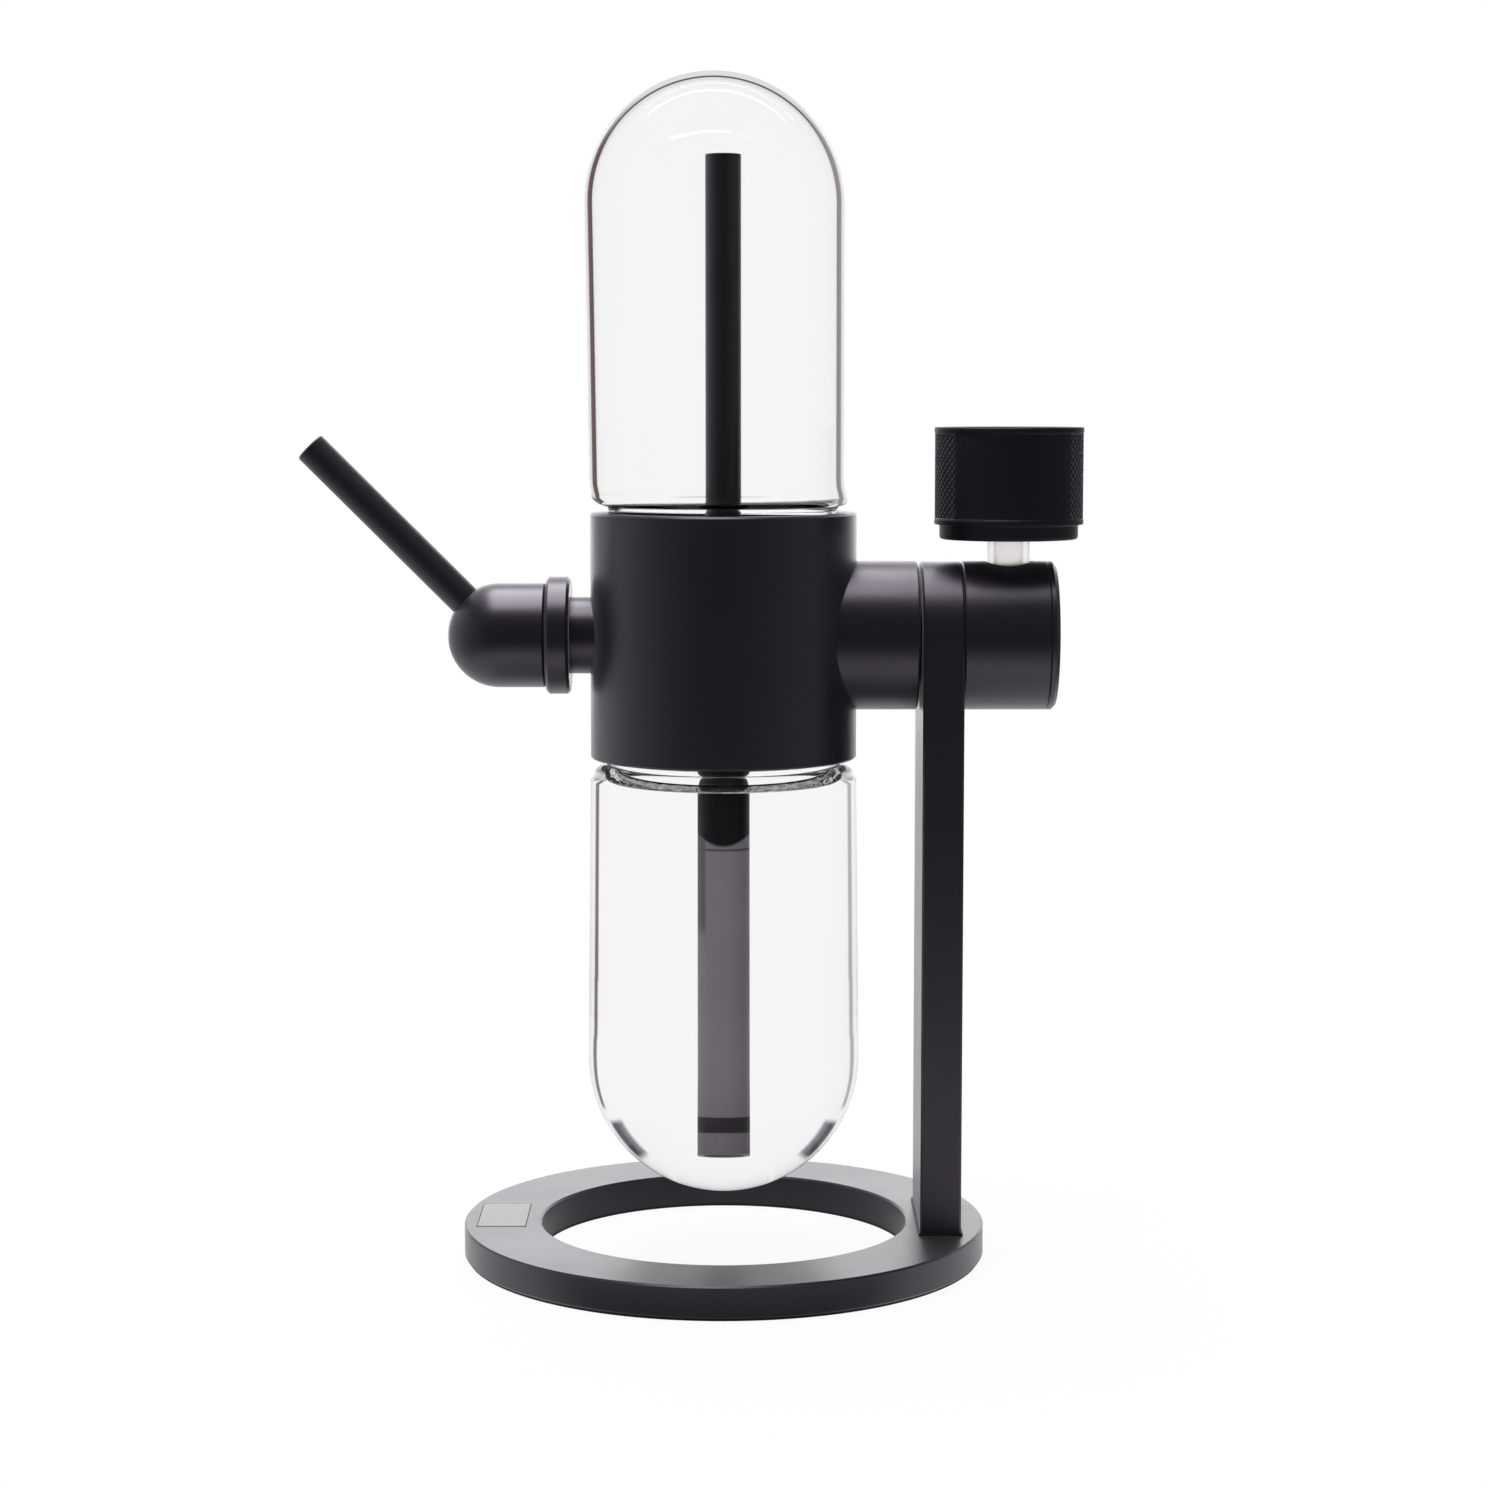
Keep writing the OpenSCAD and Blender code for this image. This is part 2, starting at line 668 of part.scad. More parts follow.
module along_mouth() {
    translate([dome_x, 0, pivot_h]) rotate([0, mouth_angle - 90, 0]) children();
}

// the elbow is turned in one piece, dome and bores together, then drilled for the tube
module elbow_half() {
    r = elbow_d / 2;
    passage_r = barrel_r - 3;
    difference() {
        union() {
            intersection() {
                circle(r = r);
                translate([0, -r]) square([r, r]);
            }
            polygon([[0, 0], [r, 0], [r, elbow_l - edge], [r - edge, elbow_l], [0, elbow_l]]);
        }
        intersection() {
            circle(r = passage_r, $fn = 48);
            translate([-over, -passage_r]) square([passage_r + over, passage_r]);
        }
        square_from(-over, -0.01, passage_r, elbow_l + over);
        square_from(-over, elbow_l - barrel_l, barrel_r + running, elbow_l + over);
        square_from(0, elbow_l - 6.3, clip_r + 0.2, elbow_l - 4.9);
    }
}

module elbow() color(metal) {
    difference() {
        translate([dome_x, 0, pivot_h]) rotate([0, 90, 0]) rotate_extrude() elbow_half();
        along_mouth() rod_z(mouth_d / 2 - mouth_wall, 0, elbow_d);
        along_mouth() rod_z(mouth_spigot_r + seat, mouth_seat, elbow_d);
    }
}

// the tube's spigot seats in the elbow, and its full width starts just outside the dome
mouth_seat = elbow_d / 4; // where the spigot stops, from the dome's centre
spigot_step = 0.3;
mouth_spigot_r = mouth_d / 2 - spigot_step;
mouth_root = sqrt(pow(elbow_d / 2, 2) - pow(mouth_d / 2, 2)) + 0.15;
module mouth_tube() color(metal) {
    along_mouth() difference() {
        union() {
            translate([0, 0, mouth_root]) turned(mouth_d / 2, mouth_reach - mouth_root, 0, 0.5);
            rod_z(mouth_spigot_r, mouth_seat, mouth_root);
        }
        rod_z(mouth_d / 2 - mouth_wall, 0, mouth_reach + over);
    }
}

// ---- bowl: rubber sleeve, glass cup with a ground stem, and a screen

sleeve_z = hub_top + bowl_gap;
ridge_h = 2;
module bowl_sleeve() color(soft_black) {
    r = bowl_d / 2;
    rim = sleeve_z + bowl_h;
    step = sleeve_z + bowl_foot_h;
    foot_round = 1.6;
    at_bowl() rotate_extrude() difference() {
        union() {
            translate([0, sleeve_z + foot_round]) square([bowl_foot_d / 2, bowl_foot_h - foot_round + over]);
            square_from(0, sleeve_z, bowl_foot_d / 2 - foot_round, step);
            translate([bowl_foot_d / 2 - foot_round, sleeve_z + foot_round]) circle(r = foot_round, $fn = 32);
            square_from(0, step, r, rim);
            square_from(0, step, r + ridge_out, step + ridge_h);
            square_from(0, rim - ridge_h, r + ridge_out, rim);
        }
        square_from(-over, sleeve_z - over, stem_r + seat, rim);
        square_from(-over, sleeve_z + floor_t, cup_r + seat, rim + over);
    }
}

module square_from(x0, y0, x1, y1) { translate([x0, y0]) square([x1 - x0, y1 - y0]); }

cup_r = bowl_foot_d / 2 - bowl_sleeve_wall;
cup_z = sleeve_z + floor_t;
cup_top = sleeve_z + bowl_h - 1.4;
funnel_h = 9;
cup_floor = 3.4;
module bowl_cup() color(glass) {
    inner = cup_r - cup_wall;
    drain = stem_r - 3;
    at_bowl() rotate_extrude() difference() {
        union() {
            square_from(0, cup_z, cup_r, cup_top);
            square_from(0, stem_bottom, stem_r, cup_z + over);
        }
        polygon([[0, cup_z + cup_floor], [screen_d / 2 + seat, cup_z + cup_floor],
            [screen_d / 2 + seat, cup_z + cup_floor + 1.4], [inner, cup_z + cup_floor + funnel_h],
            [inner, cup_top + over], [0, cup_top + over]]);
        square_from(-over, stem_bottom - over, drain, cup_top);
    }
}

// a dished disc with rings of holes, lying on the cup's floor
module bowl_screen() color(bright) {
    hole_r = 0.8;
    at_bowl() difference() {
        rod_z(screen_d / 2, cup_z + cup_floor, cup_z + cup_floor + 0.8);
        for (ring = [1:3]) for (k = [0:ring * 6 - 1])
            rotate([0, 0, k * 60 / ring]) translate([ring * screen_d * 0.13, 0, 0])
                rod_z(hole_r, cup_z, cup_top, $fn = 24);
    }
}

base_ring();
base_foot();
upright();
upright_gasket();
upright_bolts();
valve_shaft();
thrust_washer();
shaft_nut();
nut_seal();
shaft_magnet();
outlet_seal();
intake_hub();
hub_cap();
cap_seal();
hub_dowel();
stem_socket();
centre_body();
pivot_boss();
boss_screws();
inner_bearing();
outer_bearing();
valve_sleeve();
collar_washers();
upper_globe();
lower_globe();
upper_neck_seal();
lower_neck_seal();
upper_cushion();
lower_cushion();
upper_downtube();
lower_downtube();
upper_tube_grommet();
lower_tube_grommet();
coupling_ring();
coupling_magnet();
swivel_seal();
swivel_clip();
elbow();
mouth_tube();
bowl_sleeve();
bowl_cup();
bowl_screen();
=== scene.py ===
import math

import bpy
import numpy as np
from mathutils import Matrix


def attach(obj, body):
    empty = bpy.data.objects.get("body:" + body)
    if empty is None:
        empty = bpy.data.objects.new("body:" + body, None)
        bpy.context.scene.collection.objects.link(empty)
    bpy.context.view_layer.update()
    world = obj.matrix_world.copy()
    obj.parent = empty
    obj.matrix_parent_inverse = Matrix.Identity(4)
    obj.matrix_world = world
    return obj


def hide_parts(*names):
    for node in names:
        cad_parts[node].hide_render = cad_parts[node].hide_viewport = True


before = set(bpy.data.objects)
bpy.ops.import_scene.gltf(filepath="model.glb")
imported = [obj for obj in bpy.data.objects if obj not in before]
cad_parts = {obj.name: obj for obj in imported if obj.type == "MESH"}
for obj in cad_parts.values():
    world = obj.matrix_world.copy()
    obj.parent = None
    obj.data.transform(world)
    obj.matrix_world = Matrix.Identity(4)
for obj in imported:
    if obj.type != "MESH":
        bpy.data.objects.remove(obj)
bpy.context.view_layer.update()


print("frame loaded", len(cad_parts), "nodes")

pivotZ = 0.2388  # height of the axis the globes turn about
bowlX = 0.108  # the bowl's axis


def newMaterial(name):
    mat = bpy.data.materials.new(name)
    mat.use_nodes = True
    tree = mat.node_tree
    tree.nodes.clear()
    out = tree.nodes.new("ShaderNodeOutputMaterial")
    return mat, tree, out


def link(tree, source, target):
    tree.links.new(source, target)


def setValues(node, values):
    for key, value in values.items():
        node.inputs[key].default_value = value


def put(tree, value, socket):
    # a socket is linked, a colour or a number is written on the socket
    if isinstance(value, bpy.types.NodeSocket):
        link(tree, value, socket)
    elif isinstance(value, tuple):
        socket.default_value = (*value, 1)
    else:
        socket.default_value = value


def noise(tree, coord, scale, detail=2.0, rough=0.5, stretch=None):
    node = tree.nodes.new("ShaderNodeTexNoise")
    setValues(node, {"Scale": scale, "Detail": detail, "Roughness": rough})
    if stretch is not None:
        mapping = tree.nodes.new("ShaderNodeMapping")
        mapping.inputs["Scale"].default_value = stretch
        link(tree, coord, mapping.inputs["Vector"])
        coord = mapping.outputs["Vector"]
    link(tree, coord, node.inputs["Vector"])
    return node.outputs["Fac"]


def remap(tree, value, fromLow, fromHigh, toLow, toHigh, kind="LINEAR"):
    node = tree.nodes.new("ShaderNodeMapRange")
    node.interpolation_type = kind
    setValues(node, {"From Min": fromLow, "From Max": fromHigh, "To Min": toLow, "To Max": toHigh})
    link(tree, value, node.inputs["Value"])
    return node.outputs["Result"]


def smoothStep(tree, value, low, high):
    return remap(tree, value, low, high, 0, 1, "SMOOTHSTEP")


def maths(tree, operation, *values):
    # one arithmetic node; the values are numbers or sockets
    node = tree.nodes.new("ShaderNodeMath")
    node.operation = operation
    for socket, value in zip(node.inputs, values):
        put(tree, value, socket)
    return node.outputs[0]


def times(tree, first, *others):
    for other in others:
        first = maths(tree, "MULTIPLY", first, other)
    return first


def opposite(tree, value):
    # one less the value
    return maths(tree, "SUBTRACT", 1.0, value)


def blend(tree, factor, a, b, kind="MIX"):
    # a where the factor is 0 and b where it is 1
    node = tree.nodes.new("ShaderNodeMix")
    node.data_type = "RGBA"
    node.blend_type = kind
    for place, value in ((0, factor), (6, a), (7, b)):
        put(tree, value, node.inputs[place])
    return node.outputs[2]


def mixShaders(tree, factor, a, b):
    node = tree.nodes.new("ShaderNodeMixShader")
    for socket, value in zip(node.inputs, (factor, a, b)):
        link(tree, value, socket)
    return node.outputs[0]


def colourRamp(tree, value, stops):
    node = tree.nodes.new("ShaderNodeValToRGB")
    elements = node.color_ramp.elements
    while len(elements) < len(stops):
        elements.new(0.5)
    for element, (place, colour) in zip(elements, stops):
        element.position = place
        element.color = (*colour, 1)
    link(tree, value, node.inputs["Fac"])
    return node.outputs["Color"]


def bump(tree, height, strength, distance):
    node = tree.nodes.new("ShaderNodeBump")
    setValues(node, {"Strength": strength, "Distance": distance})
    link(tree, height, node.inputs["Height"])
    return node.outputs["Normal"]


def objectCoords(tree):
    return tree.nodes.new("ShaderNodeTexCoord").outputs["Object"]


def separate(tree, vector):
    node = tree.nodes.new("ShaderNodeSeparateXYZ")
    link(tree, vector, node.inputs["Vector"])
    return node.outputs


def grainy(name, look):
    # two sizes of noise: the fine one gives grain and speckle, the wide one a cloudy shine
    mat, tree, out = newMaterial(name)
    coord = objectCoords(tree)
    shader = tree.nodes.new("ShaderNodeBsdfPrincipled")
    fine = noise(tree, coord, look["grain"], 3.0, 0.6)
    wide = noise(tree, coord, look["cloud"], 3.0, 0.5, look.get("stretch"))
    colour = blend(tree, remap(tree, fine, 0.3, 0.7, 0, 1), look["dark"], look["light"])
    link(tree, colour, shader.inputs["Base Color"])
    link(tree, remap(tree, wide, 0.3, 0.7, *look["rough"]), shader.inputs["Roughness"])
    link(tree, bump(tree, fine, look["bump"], look["depth"]), shader.inputs["Normal"])
    setValues(shader, {
        "Metallic": look["metallic"],
        "IOR": look["ior"],
        "Specular Tint": (*look.get("tint", (1, 1, 1)), 1),
        "Sheen Weight": look.get("sheen", 0.0),
        "Sheen Roughness": 0.3,
    })
    link(tree, shader.outputs["BSDF"], out.inputs["Surface"])
    return mat


anodisedColours = ((0.0040, 0.0032, 0.0056), (0.0100, 0.0085, 0.0130))
anodised = grainy("black_anodised", {
    "dark": anodisedColours[0],
    "light": anodisedColours[1],
    "tint": (0.93, 0.84, 1.0),
    "rough": (0.33, 0.37),
    "grain": 2600.0,
    "cloud": 40.0,
    "bump": 0.08,
    "depth": 0.00002,
    "metallic": 0.0,
    "ior": 1.62,
    "sheen": 0.16,
})
silicone = grainy("black_silicone", {
    "dark": (0.0055, 0.0055, 0.006),
    "light": (0.012, 0.012, 0.0125),
    "rough": (0.50, 0.62),
    "grain": 1800.0,
    "cloud": 60.0,
    "bump": 0.2,
    "depth": 0.00004,
    "metallic": 0.0,
    "ior": 1.42,
})
stainless = grainy("stainless", {
    "dark": (0.50, 0.50, 0.49),
    "light": (0.66, 0.65, 0.64),
    "rough": (0.24, 0.34),
    "grain": 1500.0,
    "cloud": 90.0,
    "stretch": (8.0, 1.0, 1.0),
    "bump": 0.1,
    "depth": 0.00002,
    "metallic": 1.0,
    "ior": 2.0,
})
magnet = grainy("magnet", {
    "dark": (0.56, 0.54, 0.50),
    "light": (0.68, 0.66, 0.62),
    "rough": (0.14, 0.24),
    "grain": 900.0,
    "cloud": 120.0,
    "bump": 0.08,
    "depth": 0.00002,
    "metallic": 1.0,
    "ior": 2.0,
})
bearing = grainy("bearing_plastic", {
    "dark": (0.012, 0.011, 0.011),
    "light": (0.030, 0.028, 0.027),
    "rough": (0.42, 0.55),
    "grain": 1300.0,
    "cloud": 80.0,
    "bump": 0.12,
    "depth": 0.00003,
    "metallic": 0.0,
    "ior": 1.5,
})


def glassMaterial(name, look):
    # refraction and reflection mixed by the Fresnel law; reflections from outside are softened
    mat, tree, out = newMaterial(name)
    coord = objectCoords(tree)
    wave = noise(tree, coord, look["wave"], 1.0, 0.4, look["stretch"])
    normal = bump(tree, wave, look["bump"], look["depth"])
    refract = tree.nodes.new("ShaderNodeBsdfRefraction")
    reflect = tree.nodes.new("ShaderNodeBsdfGlossy")
    straight = tree.nodes.new("ShaderNodeBsdfTransparent")
    fresnel = tree.nodes.new("ShaderNodeFresnel")
    setValues(refract, {"Roughness": 0.0, "IOR": look["ior"]})
    setValues(fresnel, {"IOR": look["ior"]})
    link(tree, blend(tree, wave, look["tintA"], look["tintB"]), refract.inputs["Color"])
    for node in (refract, reflect, fresnel):
        link(tree, normal, node.inputs["Normal"])
    # the faint mirror images are softened and weakened, the full ones inside the wall stay sharp
    share = fresnel.outputs[0]
    link(tree, times(tree, opposite(tree, share), look["soft"]), reflect.inputs["Roughness"])
    weak = maths(tree, "POWER", share, look["clear"])
    both = mixShaders(tree, weak, refract.outputs[0], reflect.outputs[0])
    # a path caught between the walls is let out instead of ending black
    depth = tree.nodes.new("ShaderNodeLightPath").outputs["Ray Depth"]
    caught = maths(tree, "GREATER_THAN", depth, look["most"])
    link(tree, mixShaders(tree, caught, both, straight.outputs[0]), out.inputs["Surface"])
    return mat


liquidIor = 1.47
glassLook = {
    "wave": 22.0,
    "stretch": (1.0, 1.0, 0.35),
    "tintA": (0.986, 0.984, 0.985),
    "tintB": (0.978, 0.976, 0.977),
    "bump": 0.12,
    "depth": 0.0004,
    "ior": 1.5,
    "soft": 0.03,
    "clear": 1.7,
    "most": 7.5,
}
wettedLook = dict(glassLook, ior=glassLook["ior"] / liquidIor, clear=1.0)
# the trapped air's refraction is tinted dark: a painted dark line laid over the air ring's real refraction
airLook = dict(
    glassLook,
    ior=1 / liquidIor,
    clear=1.0,
    tintA=(0.28, 0.26, 0.27),
    tintB=(0.86, 0.84, 0.86),
    wave=420.0,
    stretch=(1.0, 1.0, 4.0),
    bump=0.5,
)
clearGlass = glassMaterial("clear_glass", glassLook)
wettedGlass = glassMaterial("wetted_glass", wettedLook)
airInLiquid = glassMaterial("air_in_liquid", airLook)


def paintedLightTubeMaterial():
    # black anodised tube under liquid, painted pale grey for the light it catches from the white floor
    # below, with painted shade of the body above a curved upper edge, a thin painted dark line, a painted
    # dark band low down for the base ring's reflection and a painted dark strip on its left side
    look = {
        "edge": 0.1645,  # height of the painted shade's curved edge at the tube's sides
        "dip": -0.0042,
        "radius": 0.00675,
        "fade": 0.0008,
        "line": 0.1590,  # height of a thin painted dark line in the painted grey
        "lineWidth": (0.0002, 0.0007),
        "lineShare": 0.6,
        "band": (0.0565, 0.0608),
        "bandFade": 0.0003,
        "bandShare": 0.85,
        "strip": (-0.0053, -0.0045),
        "stripEnd": (0.124, 0.131),
        "stripShare": 0.5,
        # the grey pair is painted light from the white floor below; the dark colour is used for the painted
        # shade
        "paintedFloorLight": ((0.36, 0.33, 0.37), (0.46, 0.425, 0.475)),
        "paintedShade": (0.010, 0.0085, 0.012),
        "rough": 0.5,
        "ior": 1.33,
        "grain": 1500.0,
        "bump": 0.3,
        "depth": 0.00003,
    }
    mat, tree, out = newMaterial("anodised_painted_light")
    coord = objectCoords(tree)
    place = separate(tree, coord)
    x, z = place["X"], place["Z"]
    # the edge of the painted shade hangs in the middle of the tube and rises to its sides; above it the
    # tube is painted dark as the body's shade
    across = maths(tree, "DIVIDE", x, look["radius"])
    bend = times(tree, opposite(tree, times(tree, across, across)), look["dip"])
    height = maths(tree, "SUBTRACT", maths(tree, "SUBTRACT", z, look["edge"]), bend)
    paintedShade = smoothStep(tree, height, -look["fade"], look["fade"])
    # a thin painted dark line across the tube
    away = maths(tree, "ABSOLUTE", maths(tree, "SUBTRACT", z, look["line"]))
    thin = opposite(tree, smoothStep(tree, away, *look["lineWidth"]))
    # a painted dark band low down: the base ring's reflection painted on the tube
    low, high = look["band"]
    soft = look["bandFade"]
    band = times(tree, smoothStep(tree, z, low - soft, low + soft),
                 opposite(tree, smoothStep(tree, z, high - soft, high + soft)))
    # a painted dark strip up the tube's left side, painted shade
    strip = times(tree, opposite(tree, smoothStep(tree, x, *look["strip"])),
                  smoothStep(tree, z, *look["stripEnd"]))
    dark = paintedShade
    for mark, share in ((thin, "lineShare"), (band, "bandShare"), (strip, "stripShare")):
        dark = maths(tree, "MAXIMUM", dark, times(tree, mark, look[share]))
    fine = noise(tree, coord, look["grain"], 3.0, 0.6)
    shader = tree.nodes.new("ShaderNodeBsdfPrincipled")
    setValues(shader, {"Roughness": look["rough"], "IOR": look["ior"]})
    colour = blend(tree, dark, blend(tree, fine, *look["paintedFloorLight"]), look["paintedShade"])
    link(tree, colour, shader.inputs["Base Color"])
    link(tree, bump(tree, fine, look["bump"], look["depth"]), shader.inputs["Normal"])
    link(tree, shader.outputs["BSDF"], out.inputs["Surface"])
    return mat


def groundGlassMaterial():
    # clear above the sleeve's floor, ground and beige-grey on the stem below it
    look = {
        "stemTop": 0.2750,
        "fade": 0.0006,
        "ground": ((0.925, 0.91, 0.90), (0.99, 0.98, 0.97)),
        "groundRough": 0.5,
        "groundIor": 1.12,
        "through": 0.92,
        "clear": (0.985, 0.99, 0.987, 1),
        "clearRough": 0.02,
        "clearIor": 1.5,
        "grain": 2200.0,
        "bump": 0.5,
        "depth": 0.00004,
    }
    mat, tree, out = newMaterial("ground_glass")
    coord = objectCoords(tree)
    z = separate(tree, coord)["Z"]
    above = remap(tree, z, look["stemTop"] - look["fade"], look["stemTop"], 0, 1)
    fine = noise(tree, coord, look["grain"], 3.0, 0.65)
    glass = tree.nodes.new("ShaderNodeBsdfGlass")
    setValues(glass, {"Roughness": look["clearRough"], "IOR": look["clearIor"], "Color": look["clear"]})
    frost = tree.nodes.new("ShaderNodeBsdfPrincipled")
    setValues(frost, {"Roughness": look["groundRough"], "IOR": look["groundIor"]})
    setValues(frost, {"Transmission Weight": look["through"]})
    link(tree, blend(tree, fine, *look["ground"]), frost.inputs["Base Color"])
    link(tree, bump(tree, fine, look["bump"], look["depth"]), frost.inputs["Normal"])
    both = mixShaders(tree, above, frost.outputs["BSDF"], glass.outputs["BSDF"])
    link(tree, both, out.inputs["Surface"])
    return mat


slotMaterials = {
    "black_anodised": anodised,
    "black_silicone": silicone,
    "stainless": stainless,
    "magnet": magnet,
    "bearing_plastic": bearing,
    "clear_glass": clearGlass,
    "ground_glass": groundGlassMaterial(),
}
paintedLightTube = paintedLightTubeMaterial()
print("materials made")

for nodeName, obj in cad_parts.items():
    names = [slot.name.split(".")[0] for slot in obj.data.materials if slot]
    chosen = slotMaterials.get(names[0] if names else "", anodised)
    obj.data.materials.clear()
    # the lower tube gets the material with painted light and shade
    obj.data.materials.append(paintedLightTube if nodeName == "lower_downtube" else chosen)


def addSurface(name, body, points, faces, materials, faceSlots=None):
    mesh = bpy.data.meshes.new(name)
    mesh.from_pydata(points.tolist(), [], faces)
    mesh.update()
    for mat in materials:
        mesh.materials.append(mat)
    if faceSlots is not None:
        mesh.polygons.foreach_set("material_index", faceSlots.astype(np.int32))
    mesh.polygons.foreach_set("use_smooth", np.ones(len(faces), bool))
    obj = bpy.data.objects.new(name, mesh)
    bpy.context.scene.collection.objects.link(obj)
    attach(obj, body)
    return obj


def gridFaces(rows, columns, rowsClosed, columnsClosed):
    # each face goes along its row, over to the next row and back
    i = np.arange(rows if rowsClosed else rows - 1)[:, None]
    j = np.arange(columns if columnsClosed else columns - 1)[None, :]
    i2, j2 = (i + 1) % rows, (j + 1) % columns
    corners = (i * columns + j, i * columns + j2, i2 * columns + j2, i2 * columns + j)
    return np.stack(np.broadcast_arrays(*corners), 2).reshape(-1, 4)


def turnedRound(faces):
    # the same quads from the same first corner, facing the other way
    return faces[:, [0, 3, 2, 1]]


def fullTurn(count):
    return np.linspace(0, 2 * np.pi, count, endpoint=False)


def eased(t):
    # 0 up to t = 0, 1 from t = 1 on, and a smooth step between
    t = np.clip(t, 0, 1)
    return t * t * (3 - 2 * t)


def arc(centre, radius, a0, a1, count):
    # points of a circle from one angle to another, in degrees, both ends included
    t = np.radians(np.linspace(a0, a1, count))
    return np.stack([centre[0] + radius * np.cos(t), centre[1] + radius * np.sin(t)], 1)


def line(a, b, count):
    # evenly spaced points of a straight line, without its two ends
    t = np.linspace(0, 1, count + 2)[1:-1, None]
    return np.array(a) * (1 - t) + np.array(b) * t


def globeProfile(size, rows):
    # outline of the glass from the top of the dome outside, down to the neck's rim and back up inside
    dome, shoulder, corner, base = size["dome"], size["shoulder"], size["corner"], size["base"]
    neck, fillet, lip, start = size["neck"], size["fillet"], size["lip"], size["start"]
    domeZ = size["reach"] - dome
    inDome = dome - size["wall"]
    inShoulder = shoulder - size["wall"]
    inCorner = size["innerCorner"]
    inBase = base + size["floor"]
    inNeck = neck - size["neckWall"]
    return np.concatenate([
        arc((0, domeZ), dome, 90, 0, rows["dome"]),
        line((dome, domeZ), (shoulder, base + corner), rows["side"]),
        arc((shoulder - corner, base + corner), corner, 0, -90, rows["corner"]),
        line((shoulder - corner, base), (neck + fillet, base), rows["base"]),
        arc((neck + fillet, base - fillet), fillet, 90, 180, rows["fillet"]),
        line((neck, base - fillet), (neck, start + lip), rows["neck"]),
        arc((neck - lip, start + lip), lip, 0, -90, rows["lip"]),
        arc((inNeck + lip, start + lip), lip, -90, -180, rows["lip"]),
        line((inNeck, start + lip), (inNeck, inBase - lip), rows["neck"]),
        arc((inNeck + lip, inBase - lip), lip, 180, 90, rows["lip"]),
        line((inNeck + lip, inBase), (inShoulder - inCorner, inBase), rows["innerBase"]),
        arc((inShoulder - inCorner, inBase + inCorner), inCorner, -90, 0, rows["innerCorner"]),
        line((inShoulder, inBase + inCorner), (inDome, domeZ), rows["side"]),
        arc((0, domeZ), inDome, 0, 90, rows["dome"]),
    ])


def addGlobe(name, size, rows, materials, wettedFrom=None, flip=False, lean=None):
    # x = r cos a, y = r sin a, z = z: the outline turned about Z, with one point at each end on the axis
    profile = globeProfile(size, rows)
    ring = profile[1:-1]
    n, count = len(ring), rows["columns"]
    a = fullTurn(count)
    r, z = ring[:, :1], np.repeat(ring[:, 1:], count, 1)
    points = np.stack([r * np.cos(a), r * np.sin(a), z], 2).reshape(-1, 3)
    points = np.concatenate([points, [[0, 0, profile[0, 1]], [0, 0, profile[-1, 1]]]])
    if lean is not None:
        # x moves by a step above the neck and then steadily with height
        above = points[:, 2] - lean["from"]
        points[:, 0] += lean["step"] * eased(above / lean["over"]) + lean["slope"] * np.maximum(above, 0)
    if flip:
        points = points * [1, -1, -1]
    quads = turnedRound(gridFaces(n, count, False, True))
    j = np.arange(count)
    k = (j + 1) % count
    firstPole, lastPole, lastRow = n * count, n * count + 1, (n - 1) * count
    firstCap = np.stack(np.broadcast_arrays(firstPole, j, k), 1)
    lastCap = np.stack(np.broadcast_arrays(lastPole, lastRow + k, lastRow + j), 1)
    faces = quads.tolist() + firstCap.tolist() + lastCap.tolist()
    # the second material covers the faces from the given row on, up to the inner pole
    slots = np.zeros(len(faces), np.int32)
    if wettedFrom is not None:
        slots[wettedFrom * count:len(quads)] = 1
        slots[len(quads) + count:] = 1
    return addSurface(name, "rotor", points + [0, 0, pivotZ], faces, materials, slots)


# radii of the dome, the shoulder and the neck; reach, base and start are distances from the pivot
upperSize = {
    "dome": 0.0498,
    "shoulder": 0.0491,
    "reach": 0.2117,
    "wall": 0.0039,
    "corner": 0.0046,
    "innerCorner": 0.0012,
    "base": 0.0491,
    "floor": 0.0024,
    "neck": 0.0434,
    "neckWall": 0.0042,
    "fillet": 0.0016,
    "lip": 0.0009,
    "start": 0.0264,
}
lowerSize = dict(
    upperSize,
    dome=0.0519,
    shoulder=0.0506,
    reach=0.2139,
    wall=0.0044,
    corner=0.006,
    innerCorner=0.0016,
)
globeRows = {
    "dome": 90,
    "side": 40,
    "corner": 24,
    "base": 2,
    "fillet": 10,
    "neck": 8,
    "lip": 8,
    "innerBase": 4,
    "innerCorner": 22,
    "columns": 256,
}
# blown a little off the neck's axis
blownLean = {"from": 0.0465, "over": 0.012, "step": -0.0024, "slope": -0.0072}
upperGlobe = addGlobe("upper_glass", upperSize, globeRows, [clearGlass], lean=blownLean)
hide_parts("upper_globe")
# rows of the outline from the neck's rim inwards lie under the liquid
outsideRows = sum(globeRows[part] for part in ("dome", "side", "corner", "base", "fillet", "neck"))
rimRow = outsideRows + globeRows["lip"] // 2
lowerGlobe = addGlobe("lower_glass", lowerSize, globeRows, [clearGlass, wettedGlass], rimRow, flip=True)
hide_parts("lower_globe")


def addAirRing():
    # r = R + w cos t, z = h + e sin t, turned about Z: a thin ring of trapped air under the neck
    look = {
        "radius": 0.0430,
        "width": 0.0005,
        "height": -0.0545,
        "rise": 0.0009,
        "round": 16,
        "columns": 192,
    }
    t = fullTurn(look["round"])[:, None]
    a = fullTurn(look["columns"])[None, :]
    r = look["radius"] + look["width"] * np.cos(t)
    z = look["height"] + look["rise"] * np.sin(t) + 0 * a
    points = np.stack([r * np.cos(a), r * np.sin(a), z + pivotZ], 2).reshape(-1, 3)
    faces = gridFaces(look["round"], look["columns"], True, True)
    addSurface("air_ring", "rotor", points, faces.tolist(), [airInLiquid])


